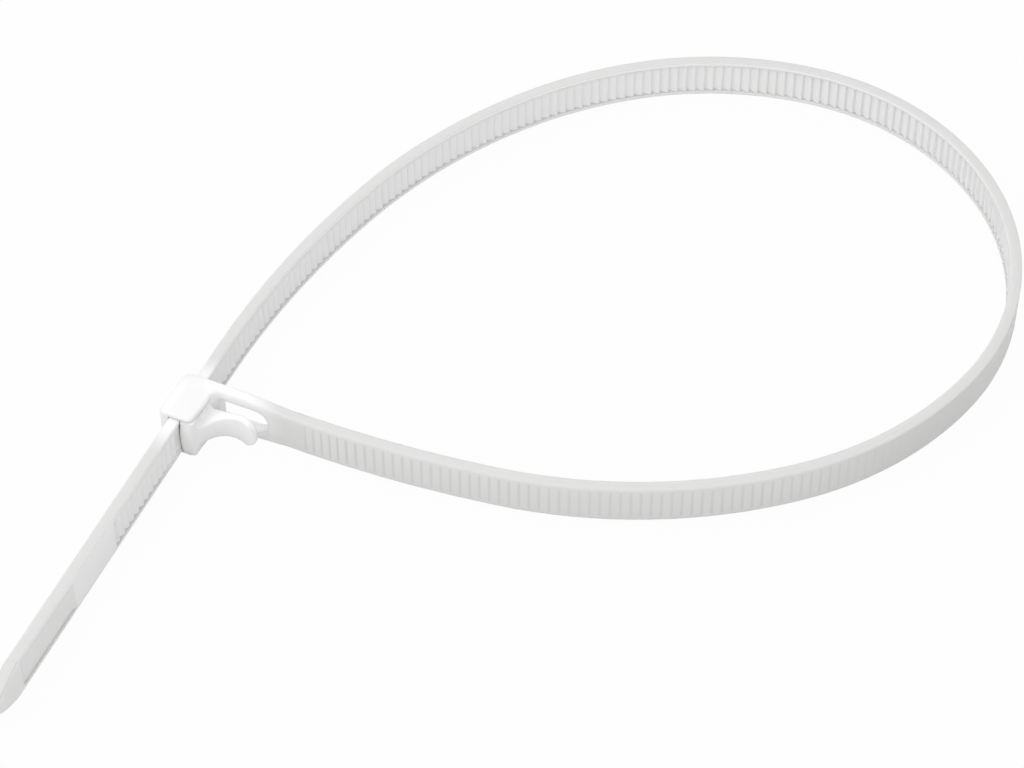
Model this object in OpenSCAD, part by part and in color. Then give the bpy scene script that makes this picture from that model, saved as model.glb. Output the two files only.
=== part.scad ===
// Releasable cable tie, closed into a loop with its tail through its own head.
// The origin is in the head's underside, where the middle of the slot meets the middle of the near run.
// The near run leaves the head along X, the tail leaves it along -Y, and Z runs across the strap.

/* [Strap] */
// width of the strap
strap_w = 7.6; // [6:0.1:10]
// thickness of the strap over its rails
strap_t = 1.95; // [1.7:0.05:2.4]
// width of each rail beside the teeth
rail_w = 0.7; // [0.5:0.05:1]
// depth of the toothed recess below the rails
recess_d = 0.62; // [0.5:0.02:0.8]
// distance from one tooth to the next
tooth_pitch = 1.66; // [1.4:0.02:2.2]
// height of a tooth above the floor of the recess
tooth_h = 0.5; // [0.3:0.02:0.6]
// part of the pitch that is flat floor between teeth
floor_part = 0.24; // [0.15:0.01:0.35]

/* [Loop] */
// centreline radius of the round end
round_r = 46.5; // [42:0.5:60]
// angle that the round end turns through
round_a = 112; // [106:1:116]
// radii of the three bends from the head to the round end, as multiples of the round end
near_r = [4.62, 1.935, 1.32];
// angles of those three bends
near_a = [9, 32, 33];
// radii of the four bends from the round end back to the head
far_r = [1.32, 1.6, 2.05, 3.5];
// angles of the first three of them, the last bend takes what is left of 270
far_a = [29, 16, 23];
// turn between two points of the strap's outline
step_a = 2; // [1.5:0.5:3]

/* [Head] */
// thickness of the wall above and below the strap
side_wall = 0.9; // [0.8:0.05:1.4]
// thickness of the nose wall on the far side of the slot
nose_wall = 1.68; // [1.2:0.05:2.4]
// length of the head along the slot, below the near run's outer face
head_l = 7.8; // [7:0.1:10]
// depth of the pawl's room beside the slot
pawl_room = 2.35; // [2.1:0.05:2.9]
// rounding of the corner between nose and entry face
nose_r = 1.9; // [1:0.1:2.4]
// rounding of the exit corner beside the lever
exit_r = 1; // [0.5:0.1:1.2]
// how much the head draws in towards its exit on the lever's side
exit_draw = 0.35; // [0:0.05:0.5]
// hollow rounding between head and root
throat_r = 1.3; // [0.6:0.1:1.5]
// gap between the strap and the slot, across the thickness
slot_gap = 0.2; // [0.15:0.01:0.3]
// gap between the strap and the side walls
side_gap = 0.2; // [0.15:0.01:0.3]

/* [Root] */
// distance from the slot to the end of the wider root
flare_end = 20; // [17:0.5:20]
// distance from the slot to where the root has the head's full width
flare_start = 8.6; // [7:0.1:10]
// distance from the slot to the near end of the window
window_start = 4.2; // [3.9:0.1:5]
// distance from the slot to the far end of the window
window_end = 13.3; // [12.5:0.1:14]
// height of the window
window_h = 5.2; // [4.4:0.1:5.4]

/* [Pawl and lever] */
// gap between the pawl's teeth and the strap's teeth
mesh_gap = 0.2; // [0.17:0.01:0.24]
// number of teeth on the pawl
pawl_teeth = 3; // [2:1:3]
// how far the middle of the pawl stands out of the exit face
pawl_out = 0.55; // [0.3:0.05:0.8]
// how much of that the pawl falls back towards the side walls
pawl_crown = 0.45; // [0.1:0.05:0.6]
// gap between the pawl and the side walls
pawl_gap = 0.12; // [0.1:0.01:0.3]
// thickness of the hinge that carries the pawl
hinge_t = 1.2; // [0.8:0.05:1.4]
// gap above the pawl's free side, and between the hinge and the slot wall
hinge_gap = 0.45; // [0.3:0.05:0.6]
// clear gap between the lever and the root
lever_gap = 1.55; // [1.2:0.05:1.8]
// thickness of the lever's bar
lever_t = 1.25; // [1:0.05:1.5]
// width of the lever where it leaves the head
lever_w = 3.7; // [3:0.1:4.2]
// hollow rounding where the lever widens into the pawl
foot_r = 1.1; // [0.6:0.1:1.3]
// width of the lever's pad
pad_w = 5.4; // [4.6:0.1:6.4]
// length of the pad
pad_l = 3.9; // [3.2:0.1:4.6]
// distance from the slot to the lever's tip
lever_tip = 12.7; // [12:0.1:14]
// radius of the lever's hollow outer face
lever_r = 4.3; // [3.8:0.1:4.6]

/* [Tail] */
// length of the tail beyond the middle of the near run
tail_l = 70.2; // [66:0.5:90]
// length of the toothed part of the tail
tail_toothed = 31.8; // [26:0.5:36]
// distance from the near run to the start of the grip patch
grip_from = 45; // [42:0.5:50]
// length of the grip patch
grip_l = 17; // [12:0.5:18]
// depth of the grip patch
grip_d = 0.35; // [0.2:0.05:0.5]
// length of the narrowing tip
tip_l = 8.2; // [6:0.2:11]
// radius of the tip's end
tip_r = 1.5; // [1:0.1:2.5]

/* [Hidden] */
$fn = 48;
half_t = strap_t / 2;
recess_w = strap_w - 2 * rail_w;
floor_at = half_t - recess_d;
head_h = strap_w + 2 * side_wall;
mid_z = head_h / 2;
slot_half = half_t + slot_gap;
nose_x = -slot_half - nose_wall;
face_x = slot_half + pawl_room;
exit_y = -half_t - head_l;
near_start = slot_half + hinge_t;
room = strap_w;  // how far a cut runs past what it cuts

// bends of the loop
bend_r = [for (k = concat(near_r, [1], far_r)) k * round_r];
bend_a0 = concat(near_a, [round_a], far_a);
function total(v, i) = i <= 0 ? 0 : v[i - 1] + total(v, i - 1);
bend_a = concat(bend_a0, [270 - total(bend_a0, len(bend_a0))]);
bends = len(bend_a);
bend_h = [for (i = [0 : bends]) total(bend_a, i)];
bend_l = [for (i = [0 : bends - 1]) bend_r[i] * bend_a[i] * PI / 180];
bend_s = [for (i = [0 : bends]) total(bend_l, i)];
function across(r, h, a) = r * [sin(h + a) - sin(h), cos(h) - cos(h + a)];
function reach(i) = i <= 0 ? [0, 0] : reach(i - 1) + across(bend_r[i - 1], bend_h[i - 1], bend_a[i - 1]);
// the two straights beside the head close the loop
near_l = -reach(bends)[0];
far_l = reach(bends)[1];
bend_p = [for (i = [0 : bends]) [near_l, 0] + reach(i)];

// point at heading h, turned about the centre of bend i, off to the left of the centreline
function on_bend(i, h, off) =
    bend_p[i] + bend_r[i] * [-sin(bend_h[i]), cos(bend_h[i])] + (bend_r[i] - off) * [sin(h), -cos(h)];
function bend_at(s, i) = i >= bends - 1 || s < bend_s[i + 1] ? i : bend_at(s, i + 1);
function turned(s, i) = bend_h[i] + (s - bend_s[i]) / bend_r[i] * 180 / PI;
// point of the loop at the distance d ahead of the slot, off to the left of the centreline
function along(d, off) =
    let (s = bend_s[bends] + far_l - d, i = bend_at(s, 0))
    d <= far_l ? [off, d] : s <= 0 ? [near_l + s, off] : on_bend(i, turned(s, i), off);
function steps(i) = ceil(bend_a[i] / step_a);
// one side of the band from the distance x along the near run to the distance y beyond the slot
function side(x, y, off) = concat(
    [[x, off]],
    [for (i = [0 : bends - 1], k = [0 : steps(i) - 1]) on_bend(i, bend_h[i] + bend_a[i] * k / steps(i), off)],
    [[off, far_l], [off, -y]]);
function turn_back(v) = [for (i = [len(v) - 1 : -1 : 0]) v[i]];

// teeth, counted from the slot so that the pawl's teeth fall between them
first_tooth = -floor(tail_toothed / tooth_pitch);
last_tooth = floor((bend_s[bends] + far_l + near_l - flare_end) / tooth_pitch) - 1;
crest_at = floor_at + tooth_h;
function tooth(k) = [
    [k * tooth_pitch, floor_at],
    [(k + 1 - floor_part - 0.16) * tooth_pitch, crest_at],
    [(k + 1 - floor_part) * tooth_pitch, floor_at + tooth_h * 0.88],
    [(k + 1 - floor_part + 0.05) * tooth_pitch, floor_at]];
function teeth_line(from, to) = [for (k = [from : to]) for (p = tooth(k)) along(p[0], p[1])];

// a corner of an outline rounded with radius r, from the direction a0 to a1
function arc(c, r, a0, a1, n = 8) = [for (k = [0 : n]) c + r * [cos(a0 + (a1 - a0) * k / n), sin(a0 + (a1 - a0) * k / n)]];

module band() {
    linear_extrude(strap_w)
        polygon(concat(side(near_start, tail_l, -half_t), turn_back(side(near_start, tail_l, half_t))));
}

// toothed recess: its floor side is the row of teeth, its open side stands clear of the strap
module toothed_recess() {
    far_end = (last_tooth + 1) * tooth_pitch;
    near_x = near_l - (far_end - bend_s[bends] - far_l);
    linear_extrude(recess_w)
        polygon(concat(
            teeth_line(first_tooth, last_tooth),
            [[near_x, floor_at]],
            side(near_x, -first_tooth * tooth_pitch, half_t + recess_d)));
}

module grip_recess() {
    linear_extrude(recess_w)
        polygon([
            [half_t + recess_d, -grip_from],
            [half_t, -grip_from],
            [half_t - grip_d, -grip_from - 4 * grip_d],
            [half_t - grip_d, -grip_from - grip_l],
            [half_t + recess_d, -grip_from - grip_l]]);
}

module strap() {
    difference() {
        translate([0, 0, side_wall])
            band();
        translate([0, 0, side_wall + rail_w])
            toothed_recess();
        translate([0, 0, side_wall + rail_w])
            grip_recess();
        tip_cut();
        window();
    }
}

// the tongue's edge, from where it starts to narrow down to its rounded end
tip_c = tip_l - tip_r;
tip_big = (tip_c * tip_c + strap_w * strap_w / 4 - tip_r * tip_r) / (strap_w - 2 * tip_r);
tip_a = atan2(tip_big - strap_w / 2, -tip_c);

module tip_cut() {
    for (m = [0, 1])
        translate([-strap_t, -tail_l + tip_l, mid_z])
            mirror([0, 0, m])
                rotate([90, 0, 90])
                    linear_extrude(2 * strap_t)
                        polygon(concat(
                            [[0, strap_w]],
                            arc([0, strap_w / 2 - tip_big], tip_big, 90, tip_a, 14),
                            arc([-tip_c, 0], tip_r, tip_a, 180),
                            [[-tip_l * 1.2, 0], [-tip_l * 1.2, strap_w]]));
}

// outline of head and root seen from above
module head_outline() {
    polygon(concat(
        [[nose_x, exit_y]],
        arc([face_x - exit_draw - exit_r, exit_y + exit_r], exit_r, 270, 360),
        [[face_x, exit_y + head_l / 2], [face_x, -half_t - throat_r]],
        arc([face_x + throat_r, -half_t - throat_r], throat_r, 180, 90),
        [[face_x + throat_r, half_t]],
        arc([nose_x + nose_r, half_t - nose_r], nose_r, 90, 180)));
}

module head_room() {
    // the slot for the strap
    translate([-slot_half, exit_y - room, side_wall - side_gap])
        cube([2 * slot_half, head_l + strap_t + 2 * room, strap_w + 2 * side_gap]);
    // the pawl's room, open to the exit and to the lever's side
    translate([0, exit_y - room, side_wall - side_gap])
        cube([face_x + throat_r + room, room + head_l - lever_gap, strap_w + 2 * side_gap]);
}

module root() {
    translate([0, half_t, 0])
        rotate([90, 0, 0])
            linear_extrude(strap_t)
                polygon([
                    [near_start, 0], [flare_start, 0], [flare_end, side_wall],
                    [flare_end, side_wall + strap_w], [flare_start, head_h], [near_start, head_h]]);
}

// the round-ended window, cut through root, strap and the hollow rounding of the head
module window() {
    r = window_h / 2;
    translate([0, room, mid_z])
        rotate([90, 0, 0])
            linear_extrude(2 * room)
                union() {
                    translate([window_start, -r])
                        square([window_end - r - window_start, 2 * r]);
                    translate([window_end - r, 0])
                        circle(r = r);
                }
}

// shape of the pawl seen from above
pawl_x = slot_half;
pawl_top = -half_t - lever_gap - hinge_gap;
pawl_end = exit_y - pawl_out;
lever_in = -half_t - lever_gap;
nose_gap = mesh_gap * 0.65;  // along the strap, so that the steep sides of the teeth stay apart
pawl_from = floor((pawl_end + 0.7 * tooth_pitch) / tooth_pitch);
pawl_to = min(pawl_from + pawl_teeth, floor((pawl_top - nose_gap) / tooth_pitch)) - 1;
function pawl_tooth(k) = [for (p = tooth(k)) [p[1] + mesh_gap, p[0] + nose_gap]];

// the pawl's crowned exit end, seen along X
module pawl_side() {
    half = strap_w / 2 + side_gap - pawl_gap;
    polygon([
        [pawl_end + pawl_crown, -half], [pawl_end, -half * 0.35], [pawl_end, half * 0.35],
        [pawl_end + pawl_crown, half], [0, half], [0, -half]]);
}

module pawl_shape() {
    polygon(concat(
        [[pawl_x, pawl_end]],
        arc([face_x - exit_r, pawl_end + exit_r], exit_r, 270, 360),
        [[face_x, -half_t], [face_x - hinge_t, -half_t]],
        [[face_x - hinge_t, pawl_top], [pawl_x, pawl_top]]));
}

// the part of the pawl that reaches between the strap's rails
module pawl_nose_shape() {
    polygon(concat(
        [[pawl_x + slot_gap, exit_y], [crest_at + mesh_gap, exit_y]],
        [[crest_at + mesh_gap, pawl_from * tooth_pitch + nose_gap]],
        [for (k = [pawl_from : pawl_to]) for (p = pawl_tooth(k)) p],
        [[pawl_x + slot_gap, (pawl_to + 1) * tooth_pitch + nose_gap]]));
}

// the lever seen from above: a foot on the pawl, a hollow bar and a pad that turns outwards
lever_c = [lever_tip - pad_l, lever_in - lever_t - lever_r];
tip_in_r = 1.85 * lever_r;
foot_x = face_x - 1.6 * exit_r;

module lever_shape() {
    tip_a = asin(pad_l * 0.96 / tip_in_r);
    polygon(concat(
        [[foot_x, lever_in], [lever_c[0], lever_in]],
        arc([lever_c[0], lever_in - tip_in_r], tip_in_r, 90, 90 - tip_a),
        arc([lever_tip - lever_t * 0.55, lever_in - lever_t], lever_t * 0.5, 20, -50, 4),
        arc(lever_c, lever_r, 61, 150, 24),
        [[face_x, pawl_end + exit_r], [foot_x, pawl_end + exit_r]]));
}

// the lever seen from the side: narrow behind the head, fanning out to a round pad
module lever_side() {
    half = lever_w / 2;
    pad_x = lever_tip - pad_w / 2;
    intersection() {
        translate([pad_x, 0])
            circle(d = pad_w * 1.02);
        translate([pad_x, 0])
            square([2 * pad_w, pad_w], center = true);
    }
    for (m = [0, 1])
        mirror([0, m])
            polygon(concat(
                [[foot_x, 0], [foot_x, half + foot_r]],
                arc([face_x + foot_r, half + foot_r], foot_r, 180, 262),
                [[pad_x, pad_w / 2], [pad_x, 0]]));
}

module pawl() {
    intersection() {
        linear_extrude(head_h)
            pawl_shape();
        translate([-room, 0, mid_z])
            rotate([90, 0, 90])
                linear_extrude(3 * room)
                    pawl_side();
    }
    translate([0, 0, side_wall + rail_w + pawl_gap])
        linear_extrude(recess_w - 2 * pawl_gap)
            pawl_nose_shape();
}

module lever() {
    intersection() {
        linear_extrude(head_h)
            lever_shape();
        translate([0, 0, mid_z])
            rotate([90, 0, 0])
                linear_extrude(8 * room, center = true)
                    lever_side();
    }
}

module head() {
    difference() {
        linear_extrude(head_h)
            head_outline();
        head_room();
        window();
    }
}

module cable_tie() {
    color([0.93, 0.93, 0.91]) {
        strap();
        difference() {
            root();
            window();
        }
        head();
        pawl();
        lever();
    }
}

cable_tie();
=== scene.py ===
import math

import bmesh
import bpy
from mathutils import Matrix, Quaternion, Vector
from mathutils.kdtree import KDTree

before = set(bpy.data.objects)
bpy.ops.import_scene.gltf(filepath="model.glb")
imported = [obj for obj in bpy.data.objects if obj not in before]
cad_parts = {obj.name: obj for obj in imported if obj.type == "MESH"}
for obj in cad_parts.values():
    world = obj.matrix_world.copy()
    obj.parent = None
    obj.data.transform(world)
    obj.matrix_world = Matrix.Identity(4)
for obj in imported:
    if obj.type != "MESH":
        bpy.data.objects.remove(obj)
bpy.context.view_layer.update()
print("frame loaded:", ", ".join(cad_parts))

mm = 0.001
white = (1, 1, 1, 1)


# a link where the item comes from another node, and otherwise the slot's own setting
def feed(tree, slot, item):
    if isinstance(item, Value):
        tree.links.new(item.socket, slot)
    else:
        slot.default_value = item


# a node socket that takes part in plain arithmetic, one Math node for each step
class Value:
    def __init__(self, tree, socket):
        self.tree = tree
        self.socket = socket

    def mathNode(self, operation, *items):
        node = self.tree.nodes.new("ShaderNodeMath")
        node.operation = operation
        for slot, item in zip(node.inputs, items):
            feed(self.tree, slot, item)
        return Value(self.tree, node.outputs[0])

    def __add__(self, other):
        return self.mathNode("ADD", self, other)

    def __radd__(self, other):
        return self.mathNode("ADD", other, self)

    def __sub__(self, other):
        return self.mathNode("SUBTRACT", self, other)

    def __rsub__(self, other):
        return self.mathNode("SUBTRACT", other, self)

    def __mul__(self, other):
        return self.mathNode("MULTIPLY", self, other)

    def __rmul__(self, other):
        return self.mathNode("MULTIPLY", other, self)

    def __abs__(self):
        return self.mathNode("ABSOLUTE", self)

    def fraction(self):
        return self.mathNode("FRACT", self)


# the nodes of a material or of the world, added one call at a time
class Finish:
    def __init__(self, owner):
        owner.use_nodes = True
        self.owner = owner
        self.tree = owner.node_tree
        self.tree.nodes.clear()

    # settings go in first; sockets and output are named, or numbered where names repeat
    def add(self, kind, settings=None, sockets=None, output=0):
        node = self.tree.nodes.new(kind)
        for key, item in (settings or {}).items():
            setattr(node, key, item)
        for key, item in (sockets or {}).items():
            feed(self.tree, node.inputs[key], item)
        return Value(self.tree, node.outputs[output]) if len(node.outputs) else None

    # mix of two colours
    def blend(self, share, first, second):
        return self.add("ShaderNodeMix", {"data_type": "RGBA"}, {0: share, 6: first, 7: second}, 2)

    def vector(self, operation, *items, output="Vector"):
        return self.add("ShaderNodeVectorMath", {"operation": operation}, dict(enumerate(items)), output)

    # how far one direction looks along another, from -1 to 1
    def along(self, first, second):
        return self.vector("DOT_PRODUCT", first, second, output="Value")

    def axis(self, name, item):
        return self.add("ShaderNodeSeparateXYZ", None, {"Vector": item}, name)

    def noise(self, place, scale, detail):
        return self.add("ShaderNodeTexNoise", None, {"Vector": place, "Scale": scale, "Detail": detail})

    # 0 at start, 1 at end, smooth between them
    def fade(self, item, start, end):
        reach = {"Value": item, "From Min": start, "From Max": end}
        return self.add("ShaderNodeMapRange", {"interpolation_type": "SMOOTHSTEP"}, reach)


nylon = {
    "strapColour": (0.82, 0.82, 0.815, 1),  # smooth side, outside the loop
    "strapCloud": (0.77, 0.77, 0.765, 1),
    "endShadeColour": (0.71, 0.71, 0.705, 1),  # painted shade: smooth side of the loop's round end, which looks along X, drawn darker as if less light falls there, without the dark line shade
    "endShadeFacing": (0.6, 0.95),  # how far a face looks along X where that painted shade starts and is full
    "lineShadeColour": (0.64, 0.64, 0.635, 1),  # painted shade: the shaded gaps between the teeth, seen through the smooth side, drawn as darker lines
    "lineAt": 0.1,  # place and reach of such a line, in teeth
    "lineReach": (0.24, 0.02),
    "lineEnds": (3.3 * mm, 2.7 * mm),  # from the mid plane
    "toothedLitColour": (0.94, 0.94, 0.935, 1),  # painted light: the toothed side is drawn paler for the light that passes through the thin strap from behind; it is also matt
    "toothedFacing": (-0.1, 0.3),  # how far it looks towards the loop's middle
    "loopMiddle": Vector((70, 60, 4.7)) * mm,
    "gripColour": (0.86, 0.86, 0.855, 1),  # from the grip patch to the tip
    "gripEdge": (-44.9 * mm, -45.2 * mm),
    "edgeShadeColour": (0.7, 0.7, 0.695, 1),  # painted shade: narrow faces along the strap, which look up or down, drawn darker
    "edgeFacing": (0.4, 0.9),  # how far they look up or down
    "thickLitColour": (0.95, 0.95, 0.945, 1),  # painted light: the head is thick, so it is drawn whiter for the light that the thick nylon scatters back
    "thickMiddle": Vector((4.5, -5, 4.7)) * mm,
    "thickReach": (13 * mm, 7.5 * mm),
    "cloudSize": 60,  # noise scale per metre of the faint cloudiness
    "cloudDetail": 3.0,
    "grainSize": 2600,
    "grainDetail": 2.0,
    "roughness": 0.42,
    "cloudRoughness": 0.12,
    "cloudBump": 2,  # against the grain's 1
    "bumpStrength": 0.25,
    "bumpDepth": 0.05 * mm,
    "softness": 0.45 * mm,  # how wide the moulded edges blur
    "softSamples": 6,
    "glow": 0.4,  # share of light that travels inside the nylon
    "glowReach": 1.4 * mm,
    "glowSpread": (1, 1, 1),
    "refraction": 1.53,
}


# cloudy, with painted shade at the loop's round end, and a painted dark line at each gap between the
# teeth that lies behind the smooth side
def smoothSide(f, facing, cloud, betweenRails):
    # painted shade: faces that look along X, at the round end, are drawn darker
    shadedEnd = f.fade(f.along(facing, (1, 0, 0)), *nylon["endShadeFacing"])
    count = f.add("ShaderNodeAttribute", {"attribute_name": "toothCount"}, output="Fac")
    off = abs((count + (0.5 - nylon["lineAt"])).fraction() - 0.5)
    # painted shade: a dark line at each gap between the teeth, between the rails
    lineShade = f.fade(off, *nylon["lineReach"]) * betweenRails * f.fade(count, 0.0, 1.0)
    tone = f.blend(cloud, nylon["strapCloud"], nylon["strapColour"])
    tone = f.blend(shadedEnd, tone, nylon["endShadeColour"])
    return f.blend(lineShade * cloud * (1 - shadedEnd), tone, nylon["lineShadeColour"])


# the toothed side, with painted light that makes it paler, and a darker tone from the grip patch to the
# tip
def toothedSide(f, place, betweenRails):
    grip = f.fade(f.axis("Y", place), *nylon["gripEdge"]) * betweenRails
    return f.blend(grip, nylon["toothedLitColour"], nylon["gripColour"])


def makeNylon():
    f = Finish(bpy.data.materials.new("natural nylon"))
    place = f.add("ShaderNodeTexCoord", output="Object")
    facing = f.add("ShaderNodeNewGeometry", output="Normal")
    cloud = f.noise(place, nylon["cloudSize"], nylon["cloudDetail"])
    grain = f.noise(place, nylon["grainSize"], nylon["grainDetail"])
    betweenRails = f.fade(abs(f.axis("Z", place) - tie["middle"]), *nylon["lineEnds"])

    inwards = f.vector("NORMALIZE", f.vector("SUBTRACT", nylon["loopMiddle"], place))
    toothed = f.fade(f.along(facing, inwards), *nylon["toothedFacing"])
    narrow = f.fade(abs(f.axis("Z", facing)), *nylon["edgeFacing"])
    depth = f.vector("DISTANCE", place, nylon["thickMiddle"], output="Value")
    smooth = smoothSide(f, facing, cloud, betweenRails)
    tone = f.blend(toothed, smooth, toothedSide(f, place, betweenRails))
    # painted shade: faces that look up or down are drawn darker
    tone = f.blend(narrow, tone, nylon["edgeShadeColour"])
    # painted light: whiter near the thick head
    tone = f.blend(f.fade(depth, *nylon["thickReach"]), tone, nylon["thickLitColour"])

    worn = f.add("ShaderNodeBevel", {"samples": nylon["softSamples"]}, {"Radius": nylon["softness"]})
    bump = f.add("ShaderNodeBump", None, {
        "Strength": nylon["bumpStrength"],
        "Distance": nylon["bumpDepth"],
        "Height": grain + cloud * nylon["cloudBump"],
        "Normal": worn,
    })
    shader = f.add("ShaderNodeBsdfPrincipled", None, {
        "Base Color": tone,
        "Roughness": cloud * nylon["cloudRoughness"] + nylon["roughness"],
        "Normal": bump,
        "IOR": nylon["refraction"],
        "Subsurface Weight": nylon["glow"],
        "Subsurface Scale": nylon["glowReach"],
        "Subsurface Radius": nylon["glowSpread"],
    })
    f.add("ShaderNodeOutputMaterial", None, {"Surface": shader})
    return f.owner


tie = {
    "middle": 4.7 * mm,  # height of the mid plane
    "headHalf": 4.7 * mm,
    "strapHalf": 3.8 * mm,
    "rootFrom": 8.5 * mm,
    "rootTo": 20.1 * mm,
    "headRound": 0.55 * mm,  # outline of head and root, above and below
    "headSegments": 4,
    "strapShare": 0.24,  # share of it along the strap
    "fineRound": 0.14 * mm,  # edges of lever and window
    "fineSegments": 2,
    "leverBox": (Vector((3.7, -9.6, 1.9)) * mm, Vector((14, 1.2, 7.5)) * mm),  # and the window
    "leverTip": (11.3 * mm, -2.9 * mm),  # beyond this it is too finely curved to round again
    "upright": 0.9,  # share of its length that an upright edge rises
    "edgeAngle": 35,  # edges that turn less than this are only shaded smooth
    "flatAngle": 0.5,  # faces that turn less than this become one
    "sameSpot": 0.002 * mm,
    "closeBy": 0.02 * mm,
    "toothWidth": 6.2 * mm,
    "toothSlack": 0.05 * mm,
    "toothStep": 1.66 * mm,
    "rowGap": 1.3,  # widest gap in the row of teeth, in steps
    "footAngle": 1.0,  # least turn at a tooth's foot, in radians
}


# share of the head's rounding for an edge, from how far its ends are from the mid plane
def outlineShare(a, b):
    low, high = sorted(abs(p.z - tie["middle"]) for p in (a, b))
    if low > tie["headHalf"] - tie["closeBy"]:
        return 1
    if low < tie["strapHalf"] - tie["closeBy"]:
        return 0
    if high < tie["strapHalf"] + tie["closeBy"]:
        return tie["strapShare"]
    return 1 if all(tie["rootFrom"] < p.x < tie["rootTo"] for p in (a, b)) else 0


# 1 for an edge of lever or window, unless it is upright or at the lever's tip
def fineShare(a, b):
    low, high = tie["leverBox"]
    tipX, tipY = tie["leverTip"]
    inside = all(low[i] < p[i] < high[i] for p in (a, b) for i in range(3))
    upright = abs(a.z - b.z) > tie["upright"] * (a - b).length
    atTip = all(p.x > tipX and p.y < tipY for p in (a, b))
    return 1 if inside and not upright and not atTip else 0


def weldedCopy(mesh):
    joined = bmesh.new()
    joined.from_mesh(mesh)
    bmesh.ops.remove_doubles(joined, verts=joined.verts, dist=tie["sameSpot"])
    return joined


# the steep foot of every tooth, in order from the tail's end round the loop
def toothFeet(mesh):
    joined = weldedCopy(mesh)
    feet = []
    for edge in joined.edges:
        a, b = (v.co for v in edge.verts)
        across = abs(abs(a.z - b.z) - tie["toothWidth"]) < tie["toothSlack"]
        hollow = len(edge.link_faces) == 2 and not edge.is_convex
        if across and hollow and edge.calc_face_angle() > tie["footAngle"]:
            feet.append(Vector((a.x, a.y, 0)))
    joined.free()
    reach = tie["rowGap"] * tie["toothStep"]
    feet = [p for p in feet if sum((q - p).length < reach for q in feet) > 1]
    row = [min(feet, key=lambda p: p.y)]
    feet.remove(row[0])
    while feet:
        following = min(feet, key=lambda p: (p - row[-1]).length)
        if (following - row[-1]).length > reach:
            break
        feet.remove(following)
        row.append(following)
    return row


# how many teeth along the strap each point lies
def countTeeth(mesh):
    row = toothFeet(mesh)
    near = KDTree(len(row))
    for i, foot in enumerate(row):
        near.insert(foot, i)
    near.balance()
    count = mesh.attributes.new("toothCount", "FLOAT", "POINT")
    for i, vertex in enumerate(mesh.vertices):
        p = Vector((vertex.co.x, vertex.co.y, 0))
        k = min(max(near.find(p)[1], 1), len(row) - 2)
        run = row[k + 1] - row[k - 1]  # two teeth long
        count.data[i].value = k + 2 * (p - row[k]).dot(run) / run.length_squared
    print("teeth counted:", len(row))


# the same for an edge of the mesh and for its like in the welded copy
def edgeKey(a, b):
    return frozenset(tuple(round(c / tie["sameSpot"]) for c in p) for p in (a, b))


# each bevel modifier takes the edges that its rule picks, and the other sharp ones stay crisp
def markEdges(mesh, rules):
    joined = weldedCopy(mesh)
    limit = math.radians(tie["edgeAngle"])
    shares = {}
    for edge in joined.edges:
        if len(edge.link_faces) == 2 and edge.calc_face_angle() > limit:
            a, b = (v.co for v in edge.verts)
            shares[edgeKey(a, b)] = [rule(a, b) if edge.is_convex else 0 for rule in rules.values()]
    joined.free()
    marks = [mesh.attributes.new(name, "FLOAT", "EDGE") for name in rules]
    for i, edge in enumerate(mesh.edges):
        found = shares.get(edgeKey(*(mesh.vertices[k].co for k in edge.vertices)))
        edge.use_edge_sharp = found is not None and not any(found)
        for mark, share in zip(marks, found or ()):
            mark.data[i].value = share


def addRounding(body, marks, width, segments):
    edge = body.modifiers.new(marks, "BEVEL")
    edge.width = width
    edge.segments = segments
    edge.limit_method = "WEIGHT"
    edge.edge_weight = marks
    edge.use_clamp_overlap = False
    edge.loop_slide = False  # sliding folds the outline over itself where the root starts


def dressTie():
    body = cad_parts["cable_tie"]
    mesh = body.data
    mesh.materials.clear()
    mesh.materials.append(makeNylon())
    if "custom_normal" in mesh.attributes:
        mesh.attributes.remove(mesh.attributes["custom_normal"])
    countTeeth(mesh)
    markEdges(mesh, {"outline": outlineShare, "fine": fineShare})
    for face in mesh.polygons:
        face.use_smooth = True
    weld = body.modifiers.new("weld", "WELD")
    weld.merge_threshold = tie["sameSpot"]
    flat = body.modifiers.new("flat", "DECIMATE")
    flat.decimate_type = "DISSOLVE"
    flat.angle_limit = math.radians(tie["flatAngle"])
    addRounding(body, "outline", tie["headRound"], tie["headSegments"])
    addRounding(body, "fine", tie["fineRound"], tie["fineSegments"])


dressTie()
print("cable tie dressed")

stage = {
    "paper": (0.7, 0.7, 0.7, 1),
    "brightShare": 0.965,  # share of plain white that the camera sees in the floor
    "floorSize": 6.0,
    "floorHeight": -0.05 * mm,
}


# 1 for the rays that see the white background, straight or in a shiny surface
def sightRays(f):
    kinds = ("Is Camera Ray", "Is Glossy Ray", "Is Transmission Ray")
    camera, glossy, through = (f.add("ShaderNodeLightPath", output=kind) for kind in kinds)
    return camera + glossy + through


def makePaper():
    f = Finish(bpy.data.materials.new("pale paper"))
    cloth = f.add("ShaderNodeBsdfDiffuse", None, {"Color": stage["paper"]})
    light = f.add("ShaderNodeEmission", None, {"Color": white, "Strength": 1.0})
    seen = sightRays(f) * stage["brightShare"]
    both = f.add("ShaderNodeMixShader", None, {0: seen, 1: cloth, 2: light})
    f.add("ShaderNodeOutputMaterial", None, {"Surface": both})
    return f.owner


def makeStage():
    bpy.ops.mesh.primitive_plane_add(size=stage["floorSize"], location=(0, 0, stage["floorHeight"]))
    floor = bpy.context.object
    floor.name = "floor"
    floor.data.materials.append(makePaper())


makeStage()
print("floor laid")

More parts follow.
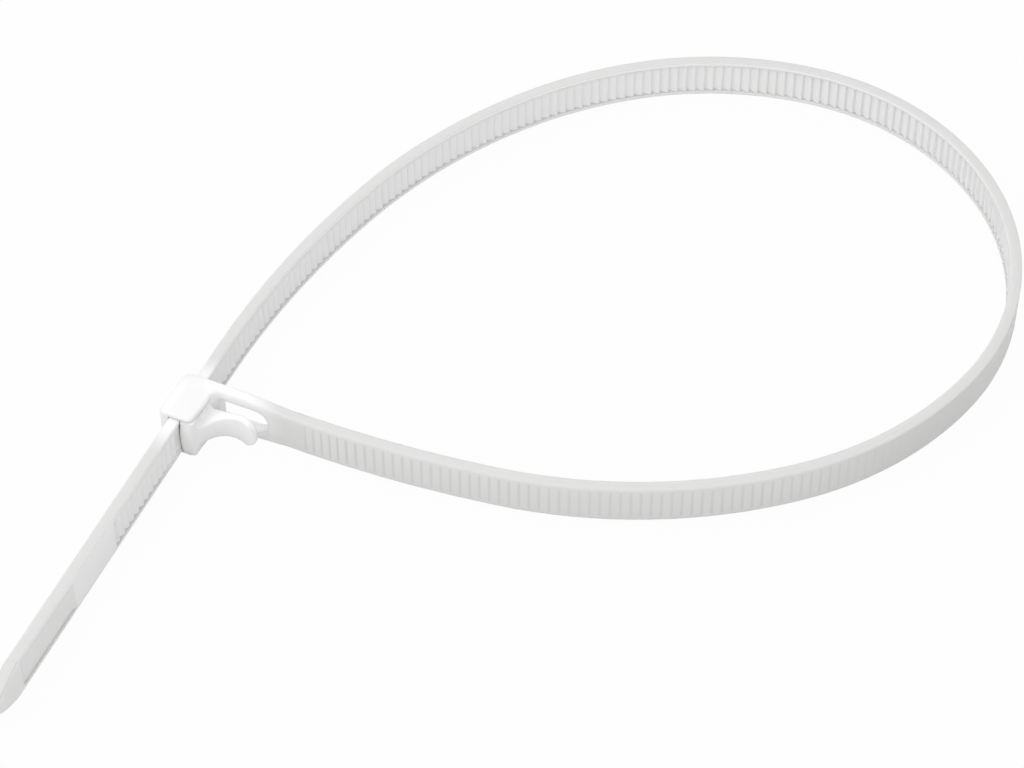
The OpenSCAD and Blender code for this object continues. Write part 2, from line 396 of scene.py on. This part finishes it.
view = {
    "aim": Vector((45.37, 26.97, 0.9)) * mm,
    "azimuth": 24.2,
    "elevation": 49.11,
    "distance": 562.7 * mm,
    "roll": -0.25,
    "lens": 116.19,
    "sensor": 36,
    "clip": (0.01, 20),
}


def direction(azimuth, elevation):
    a = math.radians(azimuth)
    e = math.radians(elevation)
    return Vector((math.sin(a) * math.cos(e), -math.cos(a) * math.cos(e), math.sin(e)))


# a camera or lamp that looks at the view's aim from a distance along back
def hangUp(name, data, back, distance, roll=0):
    thing = bpy.data.objects.new(name, data)
    bpy.context.scene.collection.objects.link(thing)
    thing.location = view["aim"] + back * distance
    thing.rotation_mode = "QUATERNION"
    turn = Quaternion((0, 0, 1), math.radians(roll))
    thing.rotation_quaternion = (-back).to_track_quat("-Z", "Y") @ turn
    return thing


def makeCamera():
    data = bpy.data.cameras.new("camera")
    data.lens = view["lens"]
    data.sensor_width = view["sensor"]
    data.clip_start, data.clip_end = view["clip"]
    back = direction(view["azimuth"], view["elevation"])
    bpy.context.scene.camera = hangUp("camera", data, back, view["distance"], view["roll"])


lamps = {
    "key": {"azimuth": -60, "elevation": 60, "power": 2.1},
    "back": {"azimuth": -140, "elevation": 55, "power": 2.3},
    "side": {"azimuth": -30, "elevation": 35, "power": 1.7},
    "fill": {"azimuth": 80, "elevation": 30, "power": 0.9},
    "front": {"azimuth": 20, "elevation": 60, "power": 1.65},
}
tent = {
    "lampSize": 0.9,
    "lampDistance": 1.2,
    "level": 0.65,  # even light from all round
}


def makeLamps():
    for name, lamp in lamps.items():
        data = bpy.data.lights.new(name, "AREA")
        data.energy = lamp["power"]
        data.size = tent["lampSize"]
        hangUp(name, data, direction(lamp["azimuth"], lamp["elevation"]), tent["lampDistance"])


def makeTent():
    f = Finish(bpy.data.worlds.new("studio"))
    strength = sightRays(f) * (1 - tent["level"]) + tent["level"]
    sky = f.add("ShaderNodeBackground", None, {"Color": white, "Strength": strength})
    f.add("ShaderNodeOutputWorld", None, {"Surface": sky})
    bpy.context.scene.world = f.owner
    bpy.context.scene.view_settings.view_transform = "Standard"


makeCamera()
makeLamps()
makeTent()
print("camera and lamps set")
